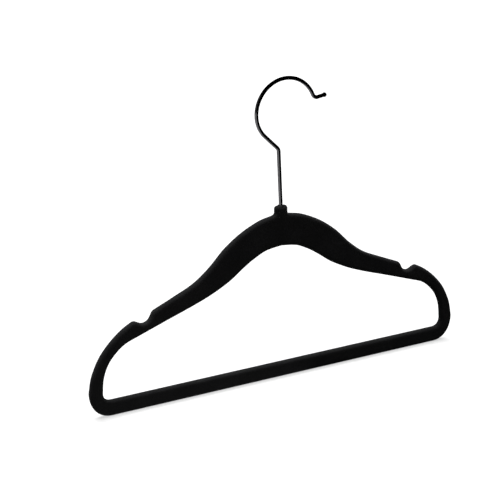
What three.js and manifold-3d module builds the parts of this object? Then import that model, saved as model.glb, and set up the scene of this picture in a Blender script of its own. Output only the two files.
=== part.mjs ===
// A slim flocked clothes hanger with a closed frame and a swivelling wire hook.
//
// Four separate pieces, in the order they go together:
//   moulded_frame  the stiff plastic frame, with a blind bore in its neck
//   flock_coat     the velvet pile that covers the frame, open at the bore
//   wire_hook      one bent wire with an upset head on its lower end
//   split_bush     the sleeve pushed into the bore above the head, so that the
//                  hook turns freely and can't pull out
//
// Millimetres, +Z up, X along the bar, Y through the thickness.
// The design is drawn with Z = 0 at the underside of the bar and X = 0 at the
// hook's stem. The whole hanger is then moved so that the origin is where the
// hook's crown rests on a rail.
import * as THREE from 'three';
import { mergeVertices } from 'three/addons/utils/BufferGeometryUtils.js';
import Module from 'manifold-3d';

const wasm = await Module();
wasm.setup();

// ---- driving dimensions ----------------------------------------------------
const HALF_WIDTH = 149.5;      // stem axis to the outside of a rounded end
const THICKNESS = 5.4;         // front to back over the pile
const EDGE_ROUND = 1.7;        // rounding of every outer edge
const PILE = 0.4;              // depth of the flock
const GAP = 0.25;              // clearance between pieces that touch
const BAR_HEIGHT = 11.3;       // bottom bar, top to bottom
const ARCH_HEIGHT = 98.8;      // top of the opening under the neck

const NECK_TOP = 128;          // top of the raised neck boss
const NECK_HALF_WIDTH = 4.9;
const NECK_CORNER = 2.2;       // rounding of the boss's two top corners
const NECK_FOOT = 121.8;       // where the boss meets the shoulders
const BARREL_RADIUS = 3.2;     // swelling of the neck around the bore
const BARREL_LENGTH = 21;
const BARREL_FADE = 7;         // taper at the barrel's lower end
const HIDDEN_STEP = 0.4;       // how far the taper ends inside the flat faces
const TOP_STEP = 0.02;         // the barrel's top lies just under the boss's top

const WIRE_RADIUS = 1.35;
const HEAD_RADIUS = 1.85;      // upset head on the wire's lower end
const HEAD_HEIGHT = 2.2;
const HEAD_BOTTOM = 113.2;
const BORE_RADIUS = 2.15;
const BORE_BOTTOM = 112.6;
const HEAD_CHAMFER = 0.4;
const TIP_RADIUS = 1.65;       // the rounded bead on the wire's free end
const BUSH_INNER = 1.53;
const BUSH_OUTER = BORE_RADIUS - GAP;
const BUSH_BOTTOM = HEAD_BOTTOM + HEAD_HEIGHT + 0.4;
const BUSH_SEAT = NECK_TOP - PILE;
const FLANGE_RADIUS = 2.35;
const FLANGE_HEIGHT = 0.5;
const FLANGE_CHAMFER = 0.2;
const BUSH_SLIT = 0.7;

// The wire's bends, upwards from just above the neck: [straight run, bend
// radius, degrees]. Positive degrees turn left as seen from the front, with +X
// to the right. The first bend is the slight lean of the stem.
const LEAN_START = 129.5;
const LOOP_RADIUS = 23.3;      // of the wire's centre line
const WIRE_BENDS = [
  [0, 20, 2.4],
  [36.4, 4, 43.8],
  [13.3, 21.2, -46.2],
  [0, LOOP_RADIUS, -90],       // up to the crown
  [0, LOOP_RADIUS, -66.4],     // and down to the lip
  [0, 3.5, 76.2],
  [5.5, 0, 0],
];
const WIRE_SIDES = 12;
const WIRE_STEPS = 90;
const DEGREES_PER_STEP = 9;
const OVERSHOOT = 1;           // how far a cutting tool runs past what it cuts

// ---- solids ----------------------------------------------------------------
function toManifold(geometry) {
  const bare = geometry.clone();
  bare.deleteAttribute('normal');
  bare.deleteAttribute('uv');
  const merged = mergeVertices(bare, 1e-4);
  return new wasm.Manifold(new wasm.Mesh({
    numProp: 3,
    vertProperties: new Float32Array(merged.attributes.position.array),
    triVerts: new Uint32Array(merged.index.array),
  }));
}

function toGeometry(solid) {
  const mesh = solid.getMesh();
  const geometry = new THREE.BufferGeometry();
  geometry.setAttribute('position', new THREE.BufferAttribute(mesh.vertProperties, 3));
  geometry.setIndex(new THREE.BufferAttribute(mesh.triVerts, 1));
  geometry.computeVertexNormals();
  return geometry;
}

// A turned solid about the stem's axis; profile points are [radius, height].
function turned(profile, sides = 24) {
  const points = profile.map(([radius, height]) => new THREE.Vector2(radius, height));
  const lathe = new THREE.LatheGeometry(points, sides);
  lathe.rotateX(Math.PI / 2);
  return toManifold(lathe);
}

function rod(radius, bottom, top) {
  return turned([[0, bottom], [radius, bottom], [radius, top], [0, top]]);
}

// ---- outline of the frame --------------------------------------------------
function smooth(points, steps) {
  const curve = new THREE.SplineCurve(points.map(([x, z]) => new THREE.Vector2(x, z)));
  return curve.getPoints(steps);
}

function corner(from, control1, control2, to, steps) {
  const ends = [from, control1, control2, to].map(([x, z]) => new THREE.Vector2(x, z));
  return new THREE.CubicBezierCurve(...ends).getPoints(steps);
}

function joined(pieces) {
  const points = pieces.flat();
  return points.filter((point, i) => i === 0 || point.distanceTo(points[i - 1]) > 0.05);
}

// Right half of the outside, from the top of the neck to the bottom bar.
function outerHalf() {
  const bossTop = NECK_HALF_WIDTH - NECK_CORNER;
  const notchTop = [98.6, 70.0];
  const notchLip = [116.2, 64.1];
  return joined([
    corner([bossTop, NECK_TOP], [bossTop + NECK_CORNER * 0.55, NECK_TOP],
      [NECK_HALF_WIDTH, NECK_TOP - NECK_CORNER * 0.45],
      [NECK_HALF_WIDTH, NECK_TOP - NECK_CORNER], 5),
    corner([NECK_HALF_WIDTH, NECK_FOOT + 1.6], [NECK_HALF_WIDTH, NECK_FOOT + 0.5],
      [NECK_HALF_WIDTH + 0.6, NECK_FOOT], [NECK_HALF_WIDTH + 2.2, NECK_FOOT - 0.4], 3),
    // S-curve of the shoulder: full near the neck, hollow above the strap notch
    smooth([[7.1, 121.4], [18, 118.9], [32, 112.4], [45, 103.3], [56.5, 92.2],
      [69, 82.9], [84, 76.1], notchTop], 34),
    // strap notch: a steep wall towards the neck, a gentle rise outwards
    corner(notchTop, [100.6, 69.2], [101.2, 68.4], [102, 66.8], 4),
    corner([102, 66.8], [103.4, 63.4], [105.4, 61.8], [108.6, 61.9], 5),
    corner([108.6, 61.9], [111.4, 62.1], [113.4, 65.0], notchLip, 5),
    // the big round end
    smooth([notchLip, [122.8, 60.5], [129.6, 55.4], [135.8, 49.4], [141.1, 42.7],
      [145, 35.4], [147.8, 27.9], [HALF_WIDTH, 18.5]], 22),
    corner([HALF_WIDTH, 18.5], [HALF_WIDTH, 8], [143.5, 0], [133.5, 0], 10),
  ]);
}

// Right half of the opening, from its top under the neck to the bar.
function innerHalf() {
  return joined([
    smooth([[0, ARCH_HEIGHT], [12, 97.1], [22, 92.7], [31, 87.1], [41.5, 79.8],
      [54.5, 73.2], [68.4, 67.8], [89.5, 60.8], [110.3, 53.8], [121.5, 49.8],
      [129, 44.3], [135, 36.9], [138.4, 28], [139.5, 17.5]], 52).slice(1),
    corner([139.5, 17.5], [139.5, 13.8], [137.4, BAR_HEIGHT], [133, BAR_HEIGHT], 6),
  ]);
}

function mirrored(half, first) {
  const left = half.map((point) => new THREE.Vector2(-point.x, point.y)).reverse();
  return first ? [first, ...half, ...left] : [...half, ...left];
}

// A shape runs anticlockwise and the hole in it clockwise.
const outline = mirrored(outerHalf()).reverse();
const opening = mirrored(innerHalf(), new THREE.Vector2(0, ARCH_HEIGHT));

// The frame's solid with every surface moved inwards by `inset`: 0 is the
// outside of the pile, PILE its root, and PILE + GAP the skin of the plastic.
function frameSolid(inset, edgeSteps) {
  const shape = new THREE.Shape(outline);
  shape.holes.push(new THREE.Path(opening));
  const round = EDGE_ROUND - inset;
  const plate = new THREE.ExtrudeGeometry(shape, {
    depth: THICKNESS - 2 * EDGE_ROUND,
    bevelThickness: round,
    bevelSize: round,
    bevelOffset: -EDGE_ROUND,
    bevelSegments: edgeSteps,
  });
  plate.translate(0, 0, EDGE_ROUND - THICKNESS / 2);
  plate.rotateX(Math.PI / 2);
  return toManifold(plate).add(neckBarrel(inset));
}

// The neck swells round the bore, because the bore is nearly as wide as the
// frame is thick.
function neckBarrel(inset) {
  const radius = BARREL_RADIUS - inset;
  const round = EDGE_ROUND - inset;
  const top = NECK_TOP - inset - TOP_STEP;
  const bottom = NECK_TOP - BARREL_LENGTH;
  const waist = THICKNESS / 2 - inset - HIDDEN_STEP;
  const cut = round * (1 - Math.SQRT1_2);
  return turned([
    [0, bottom - BARREL_FADE], [waist, bottom - BARREL_FADE], [radius, bottom],
    [radius, top - round], [radius - cut, top - cut], [radius - round, top], [0, top],
  ]);
}

// ---- sub-parts -------------------------------------------------------------
function mouldedFrame() {
  const bore = rod(BORE_RADIUS, BORE_BOTTOM, NECK_TOP + OVERSHOOT);
  return frameSolid(PILE + GAP, 2).subtract(bore);
}

function flockCoat() {
  const mouth = rod(FLANGE_RADIUS + GAP, BUSH_SEAT - OVERSHOOT, NECK_TOP + OVERSHOOT);
  return frameSolid(0, 3).subtract(frameSolid(PILE, 2)).subtract(mouth);
}

function splitBush() {
  const top = BUSH_SEAT + FLANGE_HEIGHT;
  const sleeve = turned([
    [BUSH_INNER, BUSH_BOTTOM], [BUSH_OUTER, BUSH_BOTTOM], [BUSH_OUTER, BUSH_SEAT],
    [FLANGE_RADIUS, BUSH_SEAT], [FLANGE_RADIUS, top - FLANGE_CHAMFER],
    [FLANGE_RADIUS - FLANGE_CHAMFER, top], [BUSH_INNER, top], [BUSH_INNER, BUSH_BOTTOM],
  ]);
  const reach = FLANGE_RADIUS + OVERSHOOT;
  const height = top - BUSH_BOTTOM + 2 * OVERSHOOT;
  const slit = new THREE.BoxGeometry(reach, BUSH_SLIT, height);
  slit.translate(reach / 2, 0, (top + BUSH_BOTTOM) / 2);
  return sleeve.subtract(toManifold(slit));
}

// Walks along the wire as it would be bent and returns its centre line.
function wireCentreLine() {
  const points = [];
  const at = new THREE.Vector2(0, HEAD_BOTTOM + HEAD_HEIGHT / 2);
  points.push(at.clone());
  points.push(new THREE.Vector2(0, (at.y + LEAN_START) / 2));
  at.set(0, LEAN_START);
  points.push(at.clone());
  let heading = Math.PI / 2;
  for (const [run, radius, degrees] of WIRE_BENDS) {
    if (run > 0) {
      at.x += run * Math.cos(heading);
      at.y += run * Math.sin(heading);
      points.push(at.clone());
    }
    const steps = Math.ceil(Math.abs(degrees) / DEGREES_PER_STEP);
    const turn = steps > 0 ? THREE.MathUtils.degToRad(degrees) / steps : 0;
    const chord = 2 * radius * Math.sin(Math.abs(turn) / 2);
    for (let i = 0; i < steps; i += 1) {
      at.x += chord * Math.cos(heading + turn / 2);
      at.y += chord * Math.sin(heading + turn / 2);
      heading += turn;
      points.push(at.clone());
    }
  }
  return points.map((point) => new THREE.Vector3(point.x, 0, point.y));
}

const wireLine = wireCentreLine();
const crown = wireLine.reduce((best, point) => (point.z > best.z ? point : best));

function wireHook() {
  const path = new THREE.CatmullRomCurve3(wireLine, false, 'centripetal');
  const section = new THREE.Shape();
  section.absarc(0, 0, WIRE_RADIUS, 0, 2 * Math.PI);
  const wire = toManifold(new THREE.ExtrudeGeometry(section, {
    steps: WIRE_STEPS,
    curveSegments: WIRE_SIDES / 2,
    bevelEnabled: false,
    extrudePath: path,
  }));
  const tip = wireLine[wireLine.length - 1];
  const bead = new THREE.SphereGeometry(TIP_RADIUS, WIRE_SIDES, WIRE_SIDES / 2);
  bead.translate(tip.x, tip.y, tip.z);
  const head = turned([
    [0, HEAD_BOTTOM], [HEAD_RADIUS - HEAD_CHAMFER, HEAD_BOTTOM],
    [HEAD_RADIUS, HEAD_BOTTOM + HEAD_CHAMFER],
    [HEAD_RADIUS, HEAD_BOTTOM + HEAD_HEIGHT - HEAD_CHAMFER],
    [WIRE_RADIUS, HEAD_BOTTOM + HEAD_HEIGHT], [0, HEAD_BOTTOM + HEAD_HEIGHT],
  ]);
  return wire.add(toManifold(bead)).add(head);
}

// ---- assembly --------------------------------------------------------------
const plastic = new THREE.MeshStandardMaterial({
  name: 'moulded_plastic', color: 0x151515, roughness: 0.6, metalness: 0,
});
const flock = new THREE.MeshStandardMaterial({
  name: 'velvet_flock', color: 0x0b0b0c, roughness: 1, metalness: 0,
});
const nickel = new THREE.MeshStandardMaterial({
  name: 'black_nickel_wire', color: 0x2b2b2d, roughness: 0.18, metalness: 1,
});
const nylon = new THREE.MeshStandardMaterial({
  name: 'nylon_bush', color: 0x101010, roughness: 0.4, metalness: 0,
});

function part(name, solid, material) {
  const mesh = new THREE.Mesh(toGeometry(solid), material);
  mesh.name = name;
  return mesh;
}

const body = new THREE.Group();
body.add(part('moulded_frame', mouldedFrame(), plastic));
body.add(part('flock_coat', flockCoat(), flock));
body.add(part('split_bush', splitBush(), nylon));

const hanger = new THREE.Group();
hanger.add(body);
hanger.add(part('wire_hook', wireHook(), nickel));

// The origin is the point of the crown's underside that sits on a rail.
hanger.position.set(-crown.x, 0, WIRE_RADIUS - crown.z);
hanger.updateMatrixWorld(true);

export default hanger;
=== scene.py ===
"""A slim flocked clothes hanger with a closed frame and a swivelling wire hook.

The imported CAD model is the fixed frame. This script makes the looks around it:
the velvet pile as one dense quad mesh, the hook as a smooth swept wire, and the
materials of both and of the plastic and nylon pieces that stay from the CAD.
Outlines are written in millimetres in the hanger's drawing, where X = 0 is the
hook's stem and Z = 0 the underside of the bar, and then placed by the CAD box.
"""

import math

import bpy
import numpy as np
from mathutils import Matrix, Vector, noise


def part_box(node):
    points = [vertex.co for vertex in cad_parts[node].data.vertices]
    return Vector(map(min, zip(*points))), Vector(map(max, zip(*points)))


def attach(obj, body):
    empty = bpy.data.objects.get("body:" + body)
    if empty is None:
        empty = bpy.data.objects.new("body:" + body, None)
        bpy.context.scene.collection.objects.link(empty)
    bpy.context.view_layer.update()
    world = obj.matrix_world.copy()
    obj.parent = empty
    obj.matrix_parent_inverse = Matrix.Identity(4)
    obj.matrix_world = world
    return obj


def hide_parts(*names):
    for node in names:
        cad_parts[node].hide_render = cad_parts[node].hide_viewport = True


MM = 0.001

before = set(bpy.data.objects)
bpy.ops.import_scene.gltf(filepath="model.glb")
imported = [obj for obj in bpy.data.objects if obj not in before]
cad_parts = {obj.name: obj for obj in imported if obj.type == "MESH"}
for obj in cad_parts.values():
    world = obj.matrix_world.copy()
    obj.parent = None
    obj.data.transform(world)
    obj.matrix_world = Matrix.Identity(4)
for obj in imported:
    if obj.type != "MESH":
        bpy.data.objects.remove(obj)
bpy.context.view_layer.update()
coat_lo, coat_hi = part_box("flock_coat")

# ---- dimensions of the drawing, in millimetres -------------------------------
HALF_WIDTH = 149.5
THICKNESS = 5.4
EDGE_ROUND = 2.5               # the pile rounds the edges more than the moulding does
NECK_TOP = 128.0
NECK_HALF_WIDTH = 4.9
NECK_CORNER = 2.2
NECK_FOOT = 121.8
NECK_SWELLING = 0.50           # added to each face around the bore
SWELLING_START = 100.0
SWELLING_RISE = 12.0
SWELLING_REACH = 2.4
ARCH_HEIGHT = 98.8
BAR_HEIGHT = 11.3
MOUTH_RADIUS = 2.6             # opening in the pile round the bush
MOUTH_DEPTH = 13.0             # it goes down past the end of the wire
MOUTH_SIDES = 64

WIRE_RADIUS = 1.35
TIP_RADIUS = 1.65
WIRE_BOTTOM = 116.0            # the hidden lower end of the visible wire
LEAN_START = 129.5             # just above the neck
LOOP_RADIUS = 23.3
WIRE_BENDS = (                 # straight run, bend radius, degrees to the left
    (0, 20, 2.4),
    (36.4, 4, 43.8),
    (13.3, 21.2, -46.2),
    (0, LOOP_RADIUS, -90),
    (0, LOOP_RADIUS, -66.4),
    (0, 3.5, 76.2),
    (5.5, 0, 0),
)

STEM = Vector(((coat_lo[0] + coat_hi[0]) / 2, 0, coat_lo[2]))


def place(x, y, z):
    """A point of the drawing, in millimetres, as a point of the row frame."""
    return (STEM.x + x * MM, y * MM, STEM.z + z * MM)


# ---- curves -------------------------------------------------------------------
def spline(points, steps):
    """A Catmull-Rom curve through the points."""
    pts = np.array(points, float)
    pts = np.vstack([pts[:1], pts, pts[-1:]])
    out = []
    for t in np.linspace(0, len(points) - 1, steps + 1):
        i = min(int(t), len(points) - 2)
        u = t - i
        a, b, c, d = pts[i:i + 4]
        m0, m1 = (c - a) / 2, (d - b) / 2
        out.append((2 * b - 2 * c + m0 + m1) * u ** 3
                   + (-3 * b + 3 * c - 2 * m0 - m1) * u ** 2 + m0 * u + b)
    return np.array(out)


def bezier(a, b, c, d, steps=24):
    a, b, c, d = (np.array(p, float) for p in (a, b, c, d))
    t = np.linspace(0, 1, steps + 1)[:, None]
    s = 1 - t
    return s ** 3 * a + 3 * s * s * t * b + 3 * s * t * t * c + t ** 3 * d


def chain(*pieces):
    points = np.vstack(pieces)
    step = np.linalg.norm(np.diff(points, axis=0), axis=1)
    return points[np.r_[True, step > 1e-6]]


def along(points, count):
    """count points at equal distances along a polyline, its last end left out."""
    run = np.r_[0, np.cumsum(np.linalg.norm(np.diff(points, axis=0), axis=1))]
    at = np.linspace(0, run[-1], count, endpoint=False)
    return np.stack([np.interp(at, run, points[:, k]) for k in (0, 1)], axis=1)


def cut_at(points, corners):
    """Cuts a polyline at the points nearest to each corner."""
    where = [int(np.argmin(np.hypot(*(points - c).T))) for c in corners]
    ends = [0, *where, len(points) - 1]
    return [points[a:b + 1] for a, b in zip(ends[:-1], ends[1:])]


# ---- outline of the frame -------------------------------------------------------
def outer_stretches():
    """The right half of the outside, from the neck's top to the middle of the bar."""
    corner = NECK_CORNER
    boss = NECK_HALF_WIDTH - corner
    notch_top, notch_lip = (98.6, 70.0), (116.2, 64.1)
    neck = chain(
        np.linspace((0, NECK_TOP), (boss, NECK_TOP), 12),
        bezier((boss, NECK_TOP), (boss + corner * 0.55, NECK_TOP),
               (NECK_HALF_WIDTH, NECK_TOP - corner * 0.45),
               (NECK_HALF_WIDTH, NECK_TOP - corner)),
        bezier((NECK_HALF_WIDTH, NECK_FOOT + 1.6), (NECK_HALF_WIDTH, NECK_FOOT + 0.5),
               (NECK_HALF_WIDTH + 0.6, NECK_FOOT), (NECK_HALF_WIDTH + 2.2, NECK_FOOT - 0.4)))
    shoulder = spline([(7.1, 121.4), (18, 118.9), (32, 112.4), (45, 103.3), (56.5, 92.2),
                       (69, 82.9), (84, 76.1), notch_top], 300)
    notch = chain(
        bezier(notch_top, (100.6, 69.2), (101.2, 68.4), (102, 66.8)),
        bezier((102, 66.8), (103.4, 63.4), (105.4, 61.8), (108.6, 61.9)),
        bezier((108.6, 61.9), (111.4, 62.1), (113.4, 65.0), notch_lip))
    end = spline([notch_lip, (122.8, 60.5), (129.6, 55.4), (135.8, 49.4), (141.1, 42.7),
                  (145, 35.4), (147.8, 27.9), (HALF_WIDTH, 18.5)], 240)
    corner_end = bezier((HALF_WIDTH, 18.5), (HALF_WIDTH, 8), (143.5, 0), (133.5, 0), 60)
    bar = np.linspace((133.5, 0), (0, 0), 60)
    return [neck, shoulder, notch, end, corner_end, bar]


def inner_stretches():
    """The right half of the opening, cut into the same stretches as the outside."""
    arch = spline([(0, ARCH_HEIGHT), (12, 97.1), (22, 92.7), (31, 87.1), (41.5, 79.8),
                   (54.5, 73.2), (68.4, 67.8), (89.5, 60.8), (110.3, 53.8), (121.5, 49.8),
                   (129, 44.3), (135, 36.9), (138.4, 28), (139.5, 17.5)], 600)
    corner_end = bezier((139.5, 17.5), (139.5, 13.8), (137.4, BAR_HEIGHT),
                        (133, BAR_HEIGHT), 60)
    bar = np.linspace((133, BAR_HEIGHT), (0, BAR_HEIGHT), 60)
    under_neck, under_notch, under_lip = (5.5, 98.0), (95, 59.0), (112, 53.3)
    return [*cut_at(arch, [under_neck, under_notch, under_lip]), corner_end, bar]


STATION = 0.55                 # spacing of the mesh along the frame
FINE = 0.4                     # and along the neck and the notch


def loops():
    """The outline and the opening as closed loops of paired points."""
    outer, inner = [], []
    for number, (a, b) in enumerate(zip(outer_stretches(), inner_stretches())):
        length = np.linalg.norm(np.diff(a, axis=0), axis=1).sum()
        count = round(length / (FINE if number in (0, 2) else STATION))
        outer.append(along(a, count))
        inner.append(along(b, count))
    outer = np.vstack([*outer, [(0, 0)]])
    inner = np.vstack([*inner, [(0, BAR_HEIGHT)]])
    flip = np.array([-1, 1])
    return (np.vstack([outer, outer[-2:0:-1] * flip]),
            np.vstack([inner, inner[-2:0:-1] * flip]))


def left_normals(loop):
    tangent = np.roll(loop, -1, axis=0) - np.roll(loop, 1, axis=0)
    tangent /= np.linalg.norm(tangent, axis=1)[:, None]
    return np.stack([-tangent[:, 1], tangent[:, 0]], axis=1)


# ---- the velvet pile ------------------------------------------------------------
ROUND_STEPS = 6                # mesh steps round each edge
FACE_STEPS = 22                # and across each face
WALL_STEPS = 4
CLUMP_HEIGHT = 0.030           # heights of the relief, in millimetres
NAP_HEIGHT = 0.035
PILE_SET = 0.03                # how far the pile lies under the plain outline


def coat_rings():
    """Rings of points round the frame, front face first. Each is a (x, z) and y array."""
    outer, inner = loops()
    into_outer = -left_normals(outer)
    into_inner = left_normals(inner)
    flat = THICKNESS / 2 - EDGE_ROUND
    rings = []

    def edge(loop, into, angles, side):
        for angle in angles:
            inset = EDGE_ROUND * (1 - math.cos(angle))
            rings.append((loop + into * inset, side * (flat + EDGE_ROUND * math.sin(angle))))

    def face(from_loop, to_loop, side):
        for t in np.linspace(0, 1, FACE_STEPS + 1)[1:-1]:
            rings.append((from_loop * (1 - t) + to_loop * t, side * THICKNESS / 2))

    def wall(loop, side):
        for t in np.linspace(-1, 1, WALL_STEPS + 1)[1:-1]:
            rings.append((loop, side * flat * t))

    rising = np.linspace(0, math.pi / 2, ROUND_STEPS + 1)
    rim_outer = outer + into_outer * EDGE_ROUND
    rim_inner = inner + into_inner * EDGE_ROUND
    edge(outer, into_outer, rising, -1)
    face(rim_outer, rim_inner, -1)
    edge(inner, into_inner, rising[::-1], -1)
    wall(inner, 1)
    edge(inner, into_inner, rising, 1)
    face(rim_inner, rim_outer, 1)
    edge(outer, into_outer, rising[::-1], 1)
    wall(outer, -1)
    return rings


def neck_swelling(x, z):
    """How much the faces stand out around the bore, as a share of the full swelling."""
    rise = np.clip((z - SWELLING_START) / SWELLING_RISE, 0, 1)
    return np.exp(-(x / SWELLING_REACH) ** 2) * rise * rise * (3 - 2 * rise)


def coat_vertices():
    points = []
    for flat_points, y in coat_rings():
        x, z = flat_points[:, 0], flat_points[:, 1]
        share = abs(y) / (THICKNESS / 2)
        swell = NECK_SWELLING * neck_swelling(x, z) * share
        points.append(np.stack([x, y + math.copysign(1, y) * swell, z], axis=1))
    return np.array(points)


def fibre_clumps(p):
    """Height of the pile at a point, in millimetres: matted clumps and a slow nap."""
    at = Vector(p)
    fine = noise.noise(at * 1.9) * CLUMP_HEIGHT
    coarse = noise.noise(at * 0.95 + Vector((7, 3, 1))) * CLUMP_HEIGHT
    nap = noise.noise(at * 0.11) * NAP_HEIGHT
    return fine + coarse + nap - PILE_SET


def new_object(name, vertices, faces, smooth=True):
    mesh = bpy.data.meshes.new(name)
    mesh.from_pydata([tuple(v) for v in vertices], [], faces)
    mesh.validate()
    mesh.update()
    mesh.polygons.foreach_set("use_smooth", [smooth] * len(mesh.polygons))
    obj = bpy.data.objects.new(name, mesh)
    bpy.context.scene.collection.objects.link(obj)
    return obj


def grid_faces(rows, columns, first=0):
    """Quads of a grid that closes on itself in both directions."""
    faces = []
    for i in range(rows):
        for j in range(columns):
            right, down = (j + 1) % columns, (i + 1) % rows
            faces.append((first + i * columns + j, first + i * columns + right,
                          first + down * columns + right, first + down * columns + j))
    return faces


def make_coat():
    grid = coat_vertices()
    rows, columns, _ = grid.shape
    flat = grid.reshape(-1, 3)
    obj = new_object("velvet_pile", flat, grid_faces(rows, columns))
    mesh = obj.data
    normals = np.zeros(len(flat) * 3)
    mesh.vertices.foreach_get("normal", normals)
    normals = normals.reshape(-1, 3)
    heights = np.array([fibre_clumps(p) for p in flat])
    flat = flat + normals * heights[:, None]
    placed = flat * MM + np.array(STEM)
    mesh.vertices.foreach_set("co", placed.ravel())
    mesh.update()
    cut_mouth(obj)
    return obj


def cut_mouth(obj):
    """Opens the pile round the bush and the wire, down from the top of the neck."""
    sides = MOUTH_SIDES
    rim = [(MOUTH_RADIUS * math.cos(a), MOUTH_RADIUS * math.sin(a))
           for a in np.linspace(0, 2 * math.pi, sides, endpoint=False)]
    low = [place(x, y, NECK_TOP - MOUTH_DEPTH) for x, y in rim]
    high = [place(x, y, NECK_TOP + 1) for x, y in rim]
    faces = [tuple(reversed(range(sides))), tuple(range(sides, 2 * sides))]
    for i in range(sides):
        j = (i + 1) % sides
        faces.append((i, j, sides + j, sides + i))
    cutter = new_object("cutter", low + high, faces)
    cut = obj.modifiers.new("mouth", "BOOLEAN")
    cut.operation = "DIFFERENCE"
    cut.solver = "EXACT"
    cut.object = cutter
    bpy.context.view_layer.objects.active = obj
    bpy.ops.object.modifier_apply(modifier=cut.name)
    bpy.data.objects.remove(cutter)


# ---- the hook --------------------------------------------------------------------
WIRE_SIDES = 28
STRAIGHT_STEP = 1.2            # longest step along a straight run
BEND_STEP = math.radians(3)
TIP_STEPS = 14
TIP_GAP = 0.15                 # rings this close to the bead's start are left out


def wire_line():
    """The bent wire's centre line and headings, walked from the neck upwards."""
    at = np.array([0.0, WIRE_BOTTOM])
    heading = math.pi / 2
    line = [(at.copy(), heading)]

    def straight(run):
        steps = max(1, round(run / STRAIGHT_STEP))
        for _ in range(steps):
            at[:] += np.array([math.cos(heading), math.sin(heading)]) * run / steps
            line.append((at.copy(), heading))

    straight(LEAN_START - WIRE_BOTTOM)
    for run, radius, degrees in WIRE_BENDS:
        if run:
            straight(run)
        steps = math.ceil(abs(math.radians(degrees)) / BEND_STEP)
        for _ in range(steps):
            turn = math.radians(degrees) / steps
            chord = 2 * radius * math.sin(abs(turn) / 2)
            mid = heading + turn / 2
            at[:] += np.array([math.cos(mid), math.sin(mid)]) * chord
            heading += turn
            line.append((at.copy(), heading))
    return line


def eased(headings, passes=4):
    """Rounds off the sudden starts of the bends, as a real bender leaves them."""
    h = np.array(headings)
    for _ in range(passes):
        h[1:-1] = (h[:-2] + 2 * h[1:-1] + h[2:]) / 4
    return h


def wire_rings():
    """Centre, heading and radius of each ring of the wire, bead and all."""
    line = wire_line()
    centres = np.array([p for p, _ in line])
    headings = eased([h for _, h in line])
    radii = np.full(len(line), WIRE_RADIUS)
    tip, heading = centres[-1], headings[-1]
    ahead = np.array([math.cos(heading), math.sin(heading)])
    back = math.sqrt(TIP_RADIUS ** 2 - WIRE_RADIUS ** 2)
    start = math.pi - math.atan2(WIRE_RADIUS, back)
    keep = np.linalg.norm(centres - tip, axis=1) > back + TIP_GAP
    rings = [(c, h, r) for c, h, r, k in zip(centres, headings, radii, keep) if k]
    for a in np.linspace(start, 0.03, TIP_STEPS):
        rings.append((tip + ahead * TIP_RADIUS * math.cos(a), heading,
                      TIP_RADIUS * math.sin(a)))
    return rings


def make_wire():
    vertices, faces = [], []
    rings = wire_rings()
    for centre, heading, radius in rings:
        side = np.array([-math.sin(heading), math.cos(heading)])
        for a in np.linspace(0, 2 * math.pi, WIRE_SIDES, endpoint=False):
            x, z = centre + side * radius * math.cos(a)
            vertices.append(place(x, radius * math.sin(a), z))
    for i in range(len(rings) - 1):
        for j in range(WIRE_SIDES):
            k = (j + 1) % WIRE_SIDES
            faces.append((i * WIRE_SIDES + j, (i + 1) * WIRE_SIDES + j,
                          (i + 1) * WIRE_SIDES + k, i * WIRE_SIDES + k))
    faces.append(tuple(range(WIRE_SIDES)))
    last = (len(rings) - 1) * WIRE_SIDES
    faces.append(tuple(last + j for j in reversed(range(WIRE_SIDES))))
    return new_object("hook_wire", vertices, faces)


# ---- materials ---------------------------------------------------------------------
class Nodes:
    """A material under construction: add nodes, link sockets."""

    def __init__(self, name):
        self.material = bpy.data.materials.new(name)
        self.material.use_nodes = True
        self.tree = self.material.node_tree
        self.tree.nodes.clear()
        self.shader = self.add("ShaderNodeBsdfPrincipled")
        output = self.add("ShaderNodeOutputMaterial")
        self.link(self.shader.outputs["BSDF"], output.inputs["Surface"])
        self.coordinates = self.add("ShaderNodeTexCoord").outputs["Object"]

    def add(self, kind, **values):
        node = self.tree.nodes.new(kind)
        for key, value in values.items():
            setattr(node, key, value)
        return node

    def link(self, source, target):
        self.tree.links.new(source, target)

    def set(self, **values):
        for key, value in values.items():
            self.shader.inputs[key.replace("_", " ")].default_value = value

    def noise(self, scale, detail=3, roughness=0.6, source=None):
        node = self.add("ShaderNodeTexNoise")
        node.inputs["Scale"].default_value = scale
        node.inputs["Detail"].default_value = detail
        node.inputs["Roughness"].default_value = roughness
        self.link(source or self.coordinates, node.inputs["Vector"])
        return node.outputs["Fac"]

    def stretched(self, x, y, z):
        node = self.add("ShaderNodeMapping")
        node.inputs["Scale"].default_value = (x, y, z)
        self.link(self.coordinates, node.inputs["Vector"])
        return node.outputs["Vector"]

    def ramp(self, source, *stops):
        """A colour ramp; each stop is a position and a grey or a colour."""
        node = self.add("ShaderNodeValToRGB")
        elements = node.color_ramp.elements
        while len(elements) < len(stops):
            elements.new(0.5)
        for element, (position, colour) in zip(elements, stops):
            element.position = position
            grey = isinstance(colour, (int, float))
            element.color = (colour,) * 3 + (1,) if grey else (*colour, 1)
        self.link(source, node.inputs["Fac"])
        return node.outputs["Color"]

    def mix(self, a, b, share):
        node = self.add("ShaderNodeMix", data_type="FLOAT")
        node.inputs["Factor"].default_value = share
        self.link(a, node.inputs["A"])
        self.link(b, node.inputs["B"])
        return node.outputs["Result"]

    def bump(self, height, distance, strength=1.0, under=None):
        node = self.add("ShaderNodeBump")
        node.inputs["Distance"].default_value = distance
        node.inputs["Strength"].default_value = strength
        self.link(height, node.inputs["Height"])
        if under is not None:
            self.link(under, node.inputs["Normal"])
        self.link(node.outputs["Normal"], self.shader.inputs["Normal"])
        return node.outputs["Normal"]


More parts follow.
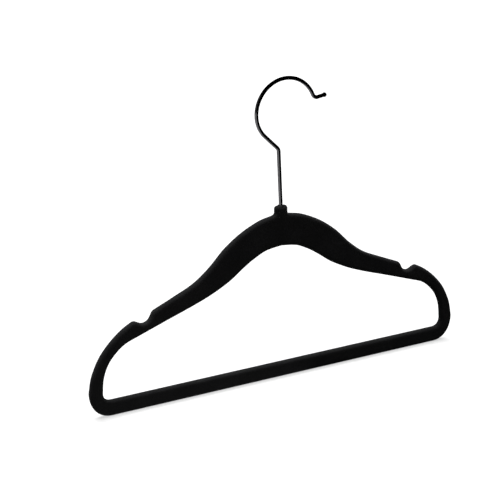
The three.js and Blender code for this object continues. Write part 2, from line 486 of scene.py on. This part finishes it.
def velvet_material():
    """Black electrostatic flock: upright fibre ends, matted clumps, a soft sheen."""
    m = Nodes("velvet_flock")
    fibres = m.noise(5200, 2, 0.7)
    clumps = m.noise(900, 4, 0.65)
    nap = m.noise(60, 3, 0.55)
    pile = m.mix(m.mix(fibres, clumps, 0.45), nap, 0.25)
    m.link(m.ramp(pile, (0.30, (0.0040, 0.0040, 0.0042)), (0.52, (0.0090, 0.0090, 0.0093)),
                  (0.72, (0.0190, 0.0190, 0.0195))), m.shader.inputs["Base Color"])
    m.link(m.ramp(clumps, (0.3, 0.82), (0.7, 1.0)), m.shader.inputs["Roughness"])
    m.set(Specular_IOR_Level=0.03, Sheen_Weight=0.22, Sheen_Roughness=0.34)
    m.shader.inputs["Sheen Tint"].default_value = (0.30, 0.30, 0.31, 1)
    coarse = m.bump(clumps, 0.00030, 0.8)
    m.bump(fibres, 0.00012, 0.9, under=coarse)
    return m.material


def nickel_material():
    """Black nickel over drawn wire: a dark mirror with faint lengthwise draw marks."""
    m = Nodes("black_nickel")
    haze = m.noise(700, 4, 0.6)
    marks = m.noise(9000, 2, 0.5, m.stretched(1.0, 1.0, 0.03))
    m.link(m.ramp(haze, (0.3, (0.060, 0.060, 0.063)), (0.7, (0.085, 0.084, 0.087))),
           m.shader.inputs["Base Color"])
    m.link(m.ramp(haze, (0.25, 0.10), (0.75, 0.19)), m.shader.inputs["Roughness"])
    m.set(Metallic=1.0)
    m.bump(marks, 0.00001, 0.25)
    return m.material


def plastic_material():
    """Matte black moulding, with the faint orange peel of the mould."""
    m = Nodes("moulded_plastic")
    peel = m.noise(1400, 3, 0.5)
    m.link(m.ramp(peel, (0.3, (0.014, 0.014, 0.014)), (0.7, (0.022, 0.022, 0.022))),
           m.shader.inputs["Base Color"])
    m.link(m.ramp(peel, (0.3, 0.45), (0.7, 0.62)), m.shader.inputs["Roughness"])
    m.bump(peel, 0.00004, 0.4)
    return m.material


def nylon_material():
    """The bush: smooth black nylon with turning marks worn by the wire."""
    m = Nodes("nylon_bush")
    rubs = m.noise(2600, 3, 0.55)
    m.link(m.ramp(rubs, (0.3, (0.010, 0.010, 0.011)), (0.7, (0.024, 0.024, 0.025))),
           m.shader.inputs["Base Color"])
    m.link(m.ramp(rubs, (0.3, 0.25), (0.7, 0.42)), m.shader.inputs["Roughness"])
    m.bump(rubs, 0.00003, 0.3)
    return m.material


# ---- camera, floor and light -----------------------------------------------------------
CAMERA_AZIMUTH = math.radians(-29.26)
CAMERA_ELEVATION = math.radians(18.5)
CAMERA_ROLL = math.radians(-0.47)
CAMERA_DISTANCE = 1.048
CAMERA_LENS = 109.03           # on a 36 mm sensor
AIM = (-24.7, 0.0, 99.5)       # the point at the middle of the picture

FLOOR_HALF = 40.0              # the room is in metres
SKY = 0.25
SUN_AZIMUTH, SUN_ELEVATION = 170, 77
SUN_STRENGTH, SUN_ANGLE = 9.6, 58
CARD_SIZE, CARD_RADIANCE = (1.22, 1.7), 1.6
CARD_AHEAD, CARD_LEFT = 0.65, 0.59
CARD_UNDER = 0.002             # the card lies just under the table top
WINDOW_SIZE, WINDOW_RADIANCE = (0.3, 0.9), 1.2
WINDOW_AT = (-0.80, 0.07, 0.45)


def make_camera():
    a, e, roll = CAMERA_AZIMUTH, CAMERA_ELEVATION, CAMERA_ROLL
    back = Vector((math.sin(a) * math.cos(e), -math.cos(a) * math.cos(e), math.sin(e)))
    right = Vector((math.cos(a), math.sin(a), 0))
    up = back.cross(right)
    turned_right = right * math.cos(roll) + up * math.sin(roll)
    turned_up = up * math.cos(roll) - right * math.sin(roll)
    data = bpy.data.cameras.new("camera")
    data.sensor_width = 36
    data.lens = CAMERA_LENS
    data.clip_start = 0.01
    data.clip_end = 120
    camera = bpy.data.objects.new("camera", data)
    turn = Matrix((turned_right, turned_up, back)).transposed()
    camera.matrix_world = Matrix.Translation(Vector(place(*AIM)) + back * CAMERA_DISTANCE) \
        @ turn.to_4x4()
    bpy.context.scene.collection.objects.link(camera)
    bpy.context.scene.camera = camera


def make_floor():
    """A pale table top, lit a little from below as a light table is."""
    half = FLOOR_HALF
    z = STEM.z
    floor = new_object("floor", [(-half, -half, z), (half, -half, z), (half, half, z),
                                 (-half, half, z)], [(0, 1, 2, 3)])
    m = Nodes("paper_floor")
    paper = m.ramp(m.noise(3, 2), (0.3, 0.20), (0.7, 0.21))
    m.link(paper, m.shader.inputs["Base Color"])
    m.link(paper, m.shader.inputs["Emission Color"])
    m.set(Roughness=1.0, Specular_IOR_Level=0.0, Emission_Strength=2.9)
    m.material.cycles.emission_sampling = "NONE"
    floor.data.materials.append(m.material)
    floor.visible_glossy = False
    floor.visible_diffuse = False
    floor.visible_shadow = False


def add_sun():
    """One broad soft light, above and a little behind the hanger."""
    data = bpy.data.lights.new("overhead", "SUN")
    data.energy = SUN_STRENGTH
    data.angle = math.radians(SUN_ANGLE)
    light = bpy.data.objects.new("overhead", data)
    a, e = math.radians(SUN_AZIMUTH), math.radians(SUN_ELEVATION)
    towards = Vector((math.sin(a) * math.cos(e), -math.cos(a) * math.cos(e), math.sin(e)))
    light.rotation_mode = "QUATERNION"
    light.rotation_quaternion = towards.to_track_quat("Z", "Y")
    light.visible_glossy = False
    bpy.context.scene.collection.objects.link(light)


def add_panel(name, centre, across, upright, size, radiance):
    """A soft rectangle of light, seen only in the gloss of the wire."""
    data = bpy.data.lights.new(name, "AREA")
    data.shape = "RECTANGLE"
    data.size, data.size_y = size
    data.energy = radiance * math.pi * data.size * data.size_y
    light = bpy.data.objects.new(name, data)
    turn = Matrix((across, upright, across.cross(upright))).transposed()
    light.matrix_world = Matrix.Translation(centre) @ turn.to_4x4()
    light.visible_camera = False
    light.visible_diffuse = False
    bpy.context.scene.collection.objects.link(light)


def add_reflections():
    """A pale card on the table, in front and to the left, and a window at the left."""
    ahead = Vector((math.sin(CAMERA_AZIMUTH), -math.cos(CAMERA_AZIMUTH), 0))
    left = Vector((ahead.y, -ahead.x, 0))
    card = Vector((0, 0, STEM.z - CARD_UNDER)) + ahead * CARD_AHEAD + left * CARD_LEFT
    add_panel("card", card, left, -ahead, CARD_SIZE, CARD_RADIANCE)
    window = Vector((0, 0, STEM.z)) + Vector(WINDOW_AT)
    back, down = Vector((0, 1, 0)), Vector((0, 0, -1))
    add_panel("window", window, back, down, WINDOW_SIZE, WINDOW_RADIANCE)


def make_light():
    world = bpy.data.worlds.new("studio")
    world.use_nodes = True
    background = world.node_tree.nodes["Background"]
    background.inputs["Color"].default_value = (1, 1, 1, 1)
    background.inputs["Strength"].default_value = SKY
    bpy.context.scene.world = world
    world.cycles_visibility.glossy = False
    add_sun()
    add_reflections()
    bpy.context.scene.view_settings.view_transform = "Standard"


# ---- assembly -----------------------------------------------------------------------------
def dress(obj, material, body=None):
    obj.data.materials.clear()
    obj.data.materials.append(material)
    if body:
        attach(obj, body)


make_camera()
make_floor()
make_light()

coat = make_coat()
dress(coat, velvet_material(), "frame")
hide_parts("flock_coat")

wire = make_wire()
dress(wire, nickel_material(), "hook")
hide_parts("wire_hook")

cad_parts["moulded_frame"].material_slots[0].material = plastic_material()
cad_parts["split_bush"].material_slots[0].material = nylon_material()
